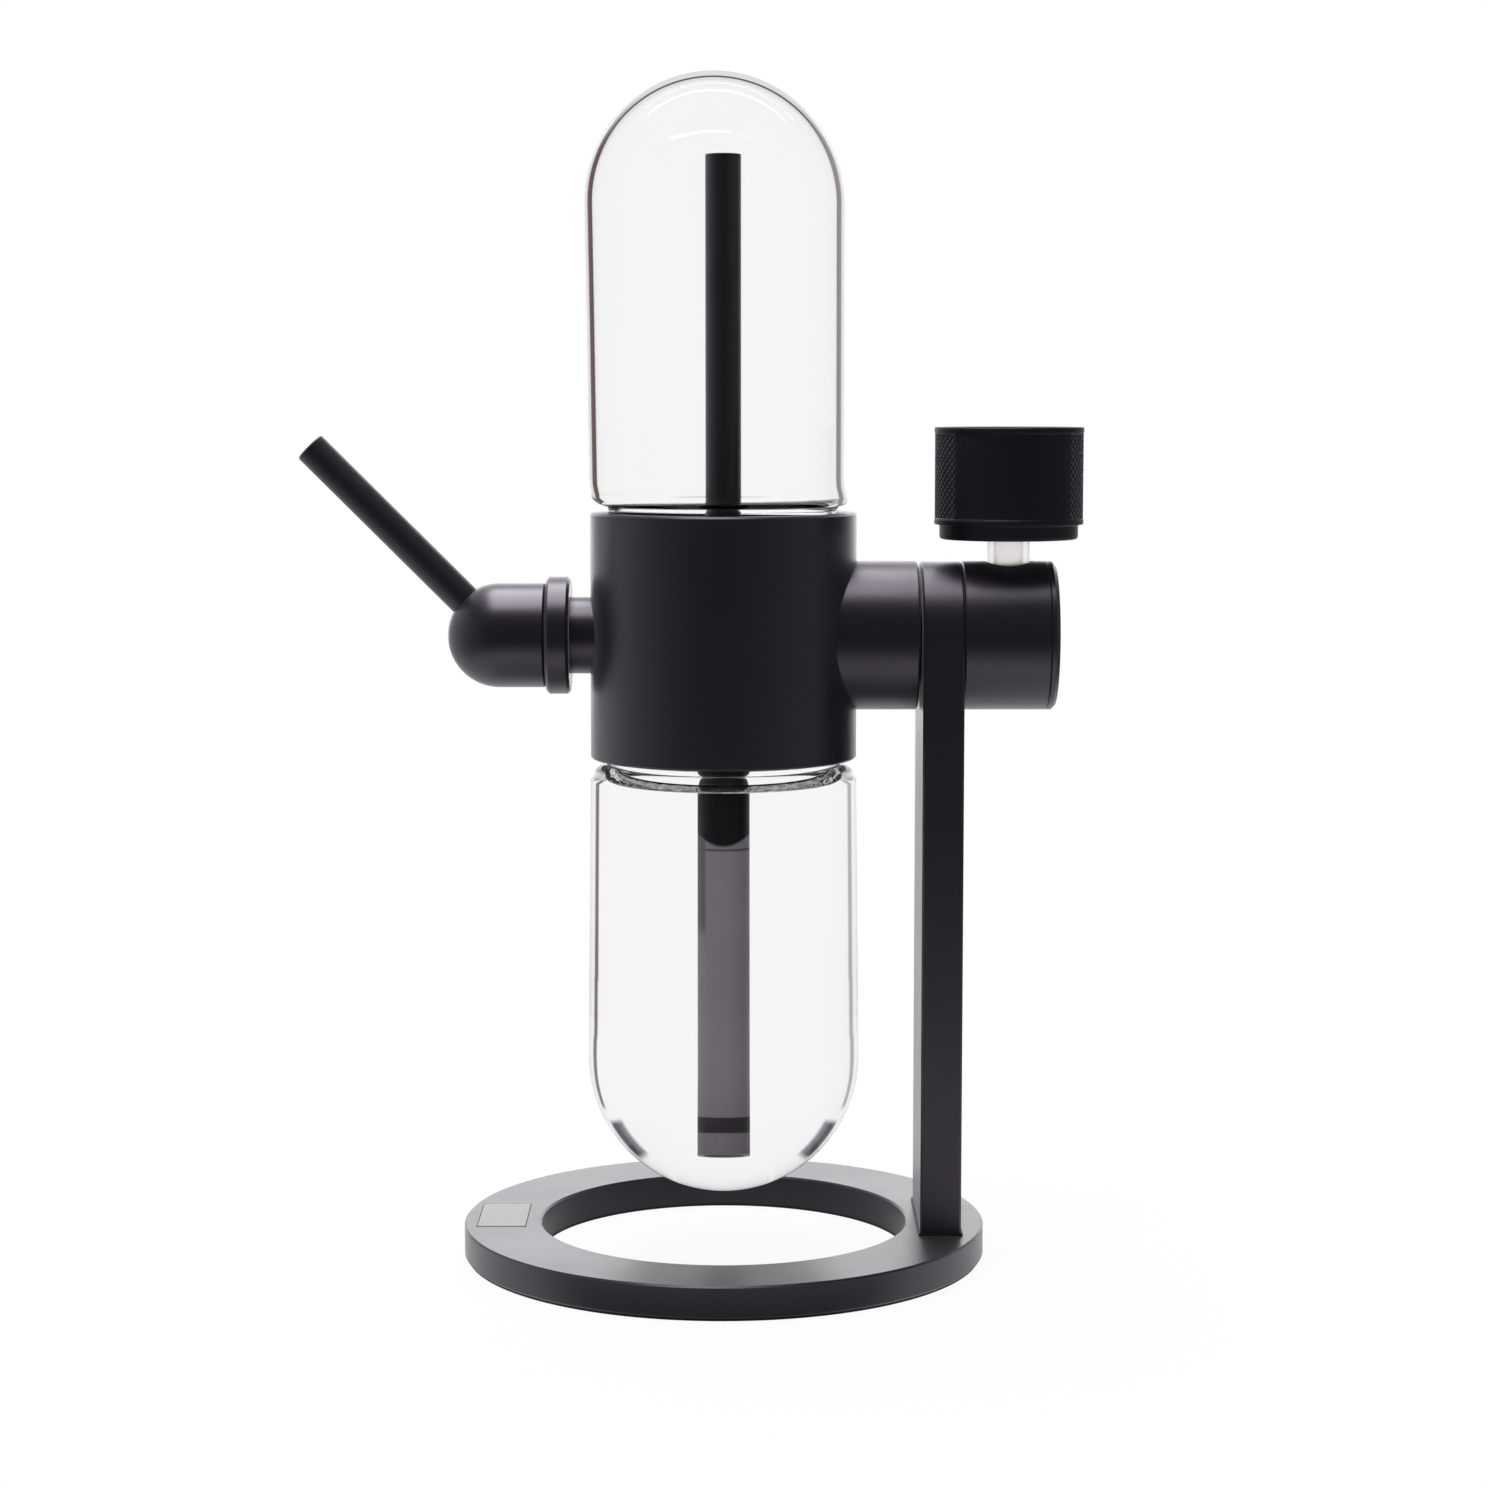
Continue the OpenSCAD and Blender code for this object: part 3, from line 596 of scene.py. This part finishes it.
addAirRing()
print("globes and air ring made")


def rounded(corners, radius, count):
    # open outline through the corners, each turned into a small curve; the two end corners are left out
    points = []
    for before, at, after in zip(corners, corners[1:], corners[2:]):
        before, at, after = np.array(before), np.array(at), np.array(after)
        a = at + (before - at) * min(radius / np.linalg.norm(before - at), 0.45)
        b = at + (after - at) * min(radius / np.linalg.norm(after - at), 0.45)
        t = np.linspace(0, 1, count)[:, None]
        points.append((1 - t) ** 2 * a + 2 * t * (1 - t) * at + t ** 2 * b)
    return np.concatenate(points)


def siliconeSleeveMaterial(look):
    # matt silicone, paler on the crests of the knurl than in its grooves: a painted highlight on the crests
    mat, tree, out = newMaterial("knurled_silicone")
    coord = objectCoords(tree)
    x, y, z = separate(tree, coord)
    dx = maths(tree, "SUBTRACT", x, bowlX)
    radius = maths(tree, "SQRT", maths(tree, "ADD", times(tree, dx, dx), times(tree, y, y)))
    crest = smoothStep(tree, radius, *look["crest"])
    low, high = look["crestRows"]
    inside = times(tree, maths(tree, "GREATER_THAN", z, low), maths(tree, "LESS_THAN", z, high))
    pale = times(tree, crest, maths(tree, "GREATER_THAN", y, look["front"]), inside)
    fine = noise(tree, coord, look["grain"], 3.0, 0.6)
    colour = blend(tree, pale, blend(tree, fine, *look["dark"]), blend(tree, fine, *look["pale"]))
    shader = tree.nodes.new("ShaderNodeBsdfPrincipled")
    setValues(shader, {"Roughness": look["rough"], "IOR": look["ior"], "Specular Tint": look["tint"]})
    link(tree, colour, shader.inputs["Base Color"])
    link(tree, bump(tree, fine, look["bump"], look["bumpDepth"]), shader.inputs["Normal"])
    link(tree, shader.outputs["BSDF"], out.inputs["Surface"])
    return mat


def addSleeve():
    look = {
        "bottom": 0.2753,
        "foot": 0.0262,
        "step": 0.2809,
        "ridge": 0.0282,
        "ridgeTop": 0.2829,
        "radius": 0.0280,
        "lip": 0.3155,
        "top": 0.3175,
        "bore": 0.02362,
        "floor": 0.2783,
        "stem": 0.00797,
        "edge": 0.0006,
        "margin": 0.0002,
        "starts": 60,  # grooves round the sleeve in each of the two sets
        "pitch": 0.0028,
        "depth": 0.00070,
        "cross": 0.25,
        "slope": 0.75,
        "panel": 48.0,  # half the smooth front, in degrees
        "panelEdge": 1.2,
        "columns": 640,
        "rows": 104,
        # the paler crests are a painted highlight
        "crest": (0.02765, 0.02798),
        "crestRows": (0.2831, 0.3153),
        "front": -0.0178,
        "dark": ((0.0020, 0.0015, 0.0030), (0.0050, 0.0040, 0.0070)),
        "pale": ((0.040, 0.034, 0.047), (0.075, 0.066, 0.086)),
        "tint": (0.90, 0.82, 1.0, 1),
        "rough": 0.55,
        "ior": 1.40,
        "grain": 1800.0,
        "bump": 0.2,
        "bumpDepth": 0.00004,
    }
    bottom, foot, step, floor, stem = (look[key] for key in ("bottom", "foot", "step", "floor", "stem"))
    ridge, ridgeTop, radius, lip = (look[key] for key in ("ridge", "ridgeTop", "radius", "lip"))
    top, bore, edge = (look[key] for key in ("top", "bore", "edge"))
    # outline r, z of the whole sleeve, with many rows where it is knurled
    z = np.linspace(ridgeTop + look["margin"], lip - look["margin"], look["rows"])
    wall = np.stack([np.full(len(z), radius), z], 1)
    low = rounded([(stem, floor), (stem, bottom), (foot, bottom), (foot, step), (ridge, step),
                   (ridge, ridgeTop), (radius, ridgeTop), (radius, lip)], edge, 3)
    high = rounded([(radius, ridgeTop), (radius, lip), (ridge, lip), (ridge, top), (bore, top),
                    (bore, floor), (stem, floor), (stem, bottom)], edge, 3)
    # a wider curve takes the place of the foot's corner
    footCurve = np.array([(-0.0014, 0), (-0.0006, 0.0002), (-0.0002, 0.0006), (0, 0.0014)]) + (foot, bottom)
    low = np.concatenate([low[:3], footCurve, low[6:]])
    outline = np.concatenate([low, wall, high])
    a = fullTurn(look["columns"])
    # x = r cos a, y = r sin a; beside a smooth front the radius drops into crossing helical grooves
    fromFront = np.degrees(np.abs((a - 1.5 * np.pi + np.pi) % (2 * np.pi) - np.pi))
    turn = look["starts"] * fromFront / 360
    z = np.repeat(outline[:, 1:], len(a), 1)
    rise = z / look["pitch"]
    main = np.abs(np.sin(np.pi * (turn + rise)))
    cross = look["cross"] + (1 - look["cross"]) * np.abs(np.sin(np.pi * (turn - rise)))
    groove = 1 - eased(np.minimum(main, cross) / look["slope"])
    side = np.clip((fromFront - look["panel"]) / look["panelEdge"], 0, 1)
    knurled = np.zeros((len(outline), 1))
    knurled[len(low):len(low) + len(wall)] = 1
    r = outline[:, :1] - look["depth"] * groove * side * knurled
    points = np.stack([bowlX + r * np.cos(a), r * np.sin(a), z], 2).reshape(-1, 3)
    faces = gridFaces(len(outline), len(a), True, True)
    return addSurface("knurled_sleeve", "bowl", points, faces.tolist(), [siliconeSleeveMaterial(look)])


sleeve = addSleeve()
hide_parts("bowl_sleeve")


def plateMaterial(look):
    # the ring's own finish with a fine dark border
    mat, tree, out = newMaterial("plate")
    coord = objectCoords(tree)
    near = []
    for (low, high), along in zip((look["x"], look["y"]), separate(tree, coord)):
        away = maths(tree, "ABSOLUTE", maths(tree, "SUBTRACT", along, (low + high) / 2))
        near.append(maths(tree, "GREATER_THAN", away, (high - low) / 2 - look["border"]))
    edge = maths(tree, "MAXIMUM", *near)
    fine = noise(tree, coord, look["grain"])
    shader = tree.nodes.new("ShaderNodeBsdfPrincipled")
    colour = blend(tree, edge, blend(tree, fine, *anodisedColours), look["borderColour"])
    link(tree, colour, shader.inputs["Base Color"])
    link(tree, remap(tree, edge, 0, 1, *look["rough"]), shader.inputs["Roughness"])
    link(tree, shader.outputs["BSDF"], out.inputs["Surface"])
    return mat


def addPlate():
    look = {
        "x": (-0.0946, -0.0757),
        "y": (-0.015, 0.021),
        "top": 0.01304,
        "thick": 0.00012,
        "count": 24,
        "border": 0.00035,
        "borderColour": (0.001, 0.001, 0.001),
        "rough": (0.27, 0.75),
        "grain": 2600.0,
    }
    count = look["count"]
    # x and y by a square grid, z level on top and underneath, the two sheets joined along their borders
    x, y = (low + (high - low) * np.linspace(0, 1, count) for low, high in (look["x"], look["y"]))
    gx, gy = np.meshgrid(x, y, indexing="ij")
    upper = np.stack([gx, gy, np.full_like(gx, look["top"])], 2).reshape(-1, 3)
    points = np.concatenate([upper, upper - [0, 0, look["thick"]]])
    quads = turnedRound(gridFaces(count, count, False, False))
    number = np.arange(count * count).reshape(count, count)
    border = np.concatenate([number[:-1, 0], number[-1, :-1], number[:0:-1, -1], number[0, :0:-1]])
    after = np.roll(border, -1)
    under = number.size
    rim = np.stack([after, border, border + under, after + under], 1)
    faces = np.concatenate([quads, quads[:, ::-1] + under, rim])
    addSurface("ring_plate", "root", points, faces.tolist(), [plateMaterial(look)])


addPlate()
print("sleeve and plate made")

white = (1, 1, 1)


def stopsAround(start, dark, end):
    # white up to start, then the dark stops, and white again from end on
    return [(0.0, white), (start, white), *dark, (end, white), (1.0, white)]


# the gap between two panels seen through the glass; the floor carries it on
throughGap = stopsAround(0.318, [(0.328, (0.20, 0.13, 0.15)), (0.352, (0.16, 0.12, 0.13))], 0.368)
throughRight = 0.6


def rays(tree):
    # 1 for camera, glossy and transmission rays, 0 for the rest
    path = tree.nodes.new("ShaderNodeLightPath").outputs
    seen = maths(tree, "MAXIMUM", path["Is Camera Ray"], path["Is Glossy Ray"])
    return maths(tree, "MAXIMUM", seen, path["Is Transmission Ray"])


def floorMaterial(look):
    # glows white for eye and glass, and shows metal a darker front and glass the gaps of the panels
    mat, tree, out = newMaterial("floor")
    diffuse = tree.nodes.new("ShaderNodeBsdfDiffuse")
    glow = tree.nodes.new("ShaderNodeEmission")
    diffuse.inputs["Color"].default_value = look["colour"]
    coord = objectCoords(tree)
    place = separate(tree, coord)
    x, y = place["X"], place["Y"]
    length = tree.nodes.new("ShaderNodeVectorMath")
    length.operation = "LENGTH"
    link(tree, coord, length.inputs[0])
    away = length.outputs["Value"]

    def fade(low, high, first, last):
        # the first level up to the low distance from the middle, the last beyond the high one
        return remap(tree, smoothStep(tree, away, low, high), 0, 1, first, last)

    lift = times(tree, rays(tree), fade(*look["bright"]))
    path = tree.nodes.new("ShaderNodeLightPath").outputs
    behind = smoothStep(tree, y, *look["turn"])
    aside = smoothStep(tree, y, *look["before"])
    nearer = maths(tree, "ADD", times(tree, fade(*look["metalInside"]), aside),
                   times(tree, fade(*look["metalBefore"]), opposite(tree, aside)))
    front = times(tree, nearer, fade(*look["metalFar"]))
    shade = times(tree, opposite(tree, front), opposite(tree, behind))
    link(tree, opposite(tree, times(tree, shade, path["Is Glossy Ray"])), glow.inputs["Strength"])
    angle = maths(tree, "DIVIDE", maths(tree, "ARCCOSINE", maths(tree, "DIVIDE", y, away)), math.pi)
    angle = maths(tree, "SUBTRACT", angle, maths(tree, "DIVIDE", look["globeShift"], away))
    toRight = remap(tree, maths(tree, "LESS_THAN", x, 0.0), 0, 1, 1, throughRight)
    far = smoothStep(tree, away, *look["gapsFrom"])
    share = times(tree, far, path["Is Transmission Ray"], toRight)
    link(tree, blend(tree, share, white, colourRamp(tree, angle, throughGap)), glow.inputs["Color"])
    link(tree, mixShaders(tree, lift, diffuse.outputs[0], glow.outputs[0]), out.inputs["Surface"])
    return mat


def makeFloor():
    look = {
        "radius": 0.52,
        "corners": 96,
        "colour": (0.80, 0.80, 0.80, 1),
        # two distances from the middle, and the level up to the first and from the second on
        "bright": (0.12, 0.40, 0.94, 1),
        # the same for what metal sees
        "metalInside": (0.085, 0.105, 0.34, 1),
        "metalBefore": (0.115, 0.19, 0.22, 1),
        "metalFar": (0.30, 0.46, 1, 0.62),
        "before": (-0.10, -0.07),
        "turn": (-0.05, 0.20),
        "gapsFrom": (0.16, 0.20),
        "globeShift": -0.0153,
    }
    # x = r cos a, y = r sin a, z = 0: a flat disc of one face
    a = fullTurn(look["corners"])
    points = np.stack([look["radius"] * np.cos(a), look["radius"] * np.sin(a), 0 * a], 1)
    mesh = bpy.data.meshes.new("floor")
    mesh.from_pydata(points.tolist(), [], [np.arange(len(a)).tolist()])
    mesh.materials.append(floorMaterial(look))
    floor = bpy.data.objects.new("floor", mesh)
    bpy.context.scene.collection.objects.link(floor)


def makeWorld():
    look = {
        "diffuse": 0.35,
        # what metal sees at eye level, from the front (0) round by the left, the back (0.5) and the right
        "around": [
            (0.0, 0.05), (0.075, 0.09), (0.133, 0.20), (0.20, 0.40), (0.28, 0.72),
            (0.33, 0.85), (0.39, 0.66), (0.444, 1.0), (0.56, 1.0), (0.61, 0.75),
            (0.66, 0.25), (0.72, 0.18), (0.794, 0.30), (0.88, 0.14), (1.0, 0.05),
        ],
        "ceiling": (0.35, 0.75),
        "ceilingLevel": (0.05, 0.05, 0.05),
        "frontOnly": (-0.3, 0.1),
        # what the glass shows, by the angle from straight behind: thin gaps between the white panels
        "inWall": stopsAround(0.150, [(0.165, (0.14, 0.08, 0.07)), (0.219, (0.14, 0.08, 0.07))], 0.230),
        "inWallRight": 0.75,
        "overTop": stopsAround(0.185, [(0.192, (0.10, 0.07, 0.07)), (0.212, (0.10, 0.07, 0.07))], 0.219),
        "top": (0.24, 0.50),
        "spots": stopsAround(0.235, [(0.255, (0.30, 0.30, 0.32)), (0.30, (0.08, 0.08, 0.10)),
                                     (0.335, (0.12, 0.12, 0.14))], 0.355),
        "tilt": 0.18,
        "gapEnds": (0.30, 0.34),
        "spotStart": (0.37, 0.41),
        "spotEnd": (0.58, 0.63),
    }
    world = bpy.data.worlds.new("studio")
    bpy.context.scene.world = world
    world.use_nodes = True
    tree = world.node_tree
    tree.nodes.clear()
    out = tree.nodes.new("ShaderNodeOutputWorld")
    x, y, z = separate(tree, tree.nodes.new("ShaderNodeTexCoord").outputs["Generated"])
    path = tree.nodes.new("ShaderNodeLightPath").outputs

    def gap(stops, share):
        # white, with a dark gap as strong as the given share
        return blend(tree, share, white, colourRamp(tree, angle, stops))

    def background(colour):
        node = tree.nodes.new("ShaderNodeBackground")
        put(tree, colour, node.inputs["Color"])
        return node.outputs[0]

    # metal sees the greys all round, and a dark ceiling before the object
    turn = maths(tree, "DIVIDE", maths(tree, "ARCTAN2", x, y), 2 * math.pi)
    greys = [(place, (level, level, level)) for place, level in look["around"]]
    level = colourRamp(tree, maths(tree, "ADD", turn, 0.5), greys)
    front = smoothStep(tree, times(tree, y, -1.0), *look["frontOnly"])
    up = times(tree, smoothStep(tree, z, *look["ceiling"]), front)
    metalSees = blend(tree, up, level, look["ceilingLevel"])

    # glass sees the panels by the angle from straight behind, and by how far round from level
    # the ray leaves the dome, as a part of a right angle
    angle = maths(tree, "DIVIDE", maths(tree, "ARCCOSINE", y), math.pi)
    lifted = maths(tree, "ADD", z, look["tilt"])
    climb = maths(tree, "ARCTAN2", lifted, maths(tree, "ABSOLUTE", x))
    climb = maths(tree, "DIVIDE", climb, math.pi / 2)
    toRight = maths(tree, "LESS_THAN", x, 0.0)
    gapShare = times(tree, opposite(tree, smoothStep(tree, climb, *look["gapEnds"])),
                     remap(tree, toRight, 0, 1, 1, throughRight))
    spotShare = times(tree, smoothStep(tree, climb, *look["spotStart"]),
                      opposite(tree, smoothStep(tree, climb, *look["spotEnd"])))
    through = blend(tree, 1.0, gap(throughGap, gapShare), gap(look["spots"], spotShare), "MULTIPLY")
    wallShare = remap(tree, toRight, 0, 1, look["inWallRight"], 1)
    overhead = smoothStep(tree, z, *look["top"])
    walls = blend(tree, overhead, gap(look["inWall"], wallShare), gap(look["overTop"], 1.0))

    # a ray with one or two passages through glass was turned back inside a wall and still sees the panels
    inWall = maths(tree, "COMPARE", path["Transmission Depth"], 1.5, 0.9)
    mirrored = maths(tree, "GREATER_THAN", path["Glossy Depth"], 0.5)
    shortPath = maths(tree, "LESS_THAN", path["Transmission Depth"], 4.5)
    reflected = times(tree, mirrored, maths(tree, "SUBTRACT", shortPath, inWall))
    scattered = maths(tree, "GREATER_THAN", path["Diffuse Depth"], 0.5)
    grey = (look["diffuse"], look["diffuse"], look["diffuse"])
    last = background(through)
    for colour, share in (
        (walls, times(tree, mirrored, inWall)),
        (metalSees, reflected),
        (grey, scattered),
        ((1.0, 1.0, 1.0), path["Is Camera Ray"]),
    ):
        last = mixShaders(tree, share, last, background(colour))
    link(tree, last, out.inputs["Surface"])


def addLamp(name, look):
    # level is the lamp's brightness as a surface; the power follows from its size
    data = bpy.data.lights.new(name, "AREA")
    data.shape = "RECTANGLE"
    data.size, data.size_y = look["size"]
    data.energy = look["level"] * math.pi * look["size"][0] * look["size"][1]
    lamp = bpy.data.objects.new(name, data)
    lamp.location = look["place"]
    lamp.rotation_euler = (look["tilt"], 0, 0)
    lamp.visible_camera = False
    lamp.visible_transmission = False
    bpy.context.scene.collection.objects.link(lamp)
    if "dome" in look:
        # the wide lamp's image is kept off the dome, and the strips light nothing else
        group = bpy.data.collections.new(name + "_linked")
        group.objects.link(upperGlobe)
        lamp.light_linking.receiver_collection = group
        group.collection_objects[0].light_linking.link_state = look["dome"]


lamps = {
    "top_softbox": {
        "size": (0.60, 1.40),
        "level": 8.2,
        "place": (-0.14, 0.14, 1.44),
        "tilt": 0.0,
        "dome": "EXCLUDE",
    },
    "back_softbox": {
        "size": (2.6, 1.5),
        "level": 1.55,
        "place": (0.0, 2.2, 0.75),
        "tilt": -math.pi / 2,
    },
    "strip_a": {
        "size": (1.7, 0.06),
        "level": 42.0,
        "place": (0.03, 0.33, 1.45),
        "tilt": 0.3,
        "dome": "INCLUDE",
    },
    "strip_b": {
        "size": (1.9, 0.05),
        "level": 16.0,
        "place": (0.03, 0.60, 1.45),
        "tilt": 0.5,
        "dome": "INCLUDE",
    },
    "strip_c": {
        "size": (1.5, 0.03),
        "level": 120.0,
        "place": (0.03, -0.60, 1.42),
        "tilt": 0.5,
        "dome": "INCLUDE",
    },
}

makeFloor()
makeWorld()
for lampName, lampLook in lamps.items():
    addLamp(lampName, lampLook)
print("floor, surround and lamps made")


def makeCamera():
    look = {"place": (0.0078, -1.2409, 0.3278), "down": 6.008, "lens": 79.16}
    data = bpy.data.cameras.new("camera")
    data.lens = look["lens"]
    data.sensor_width = 36
    data.clip_start, data.clip_end = 0.02, 50
    cam = bpy.data.objects.new("camera", data)
    cam.location = look["place"]
    cam.rotation_euler = (math.radians(90 - look["down"]), 0, 0)
    bpy.context.scene.collection.objects.link(cam)
    bpy.context.scene.camera = cam


makeCamera()
bpy.context.scene.view_settings.view_transform = "Standard"

print("stage ready")
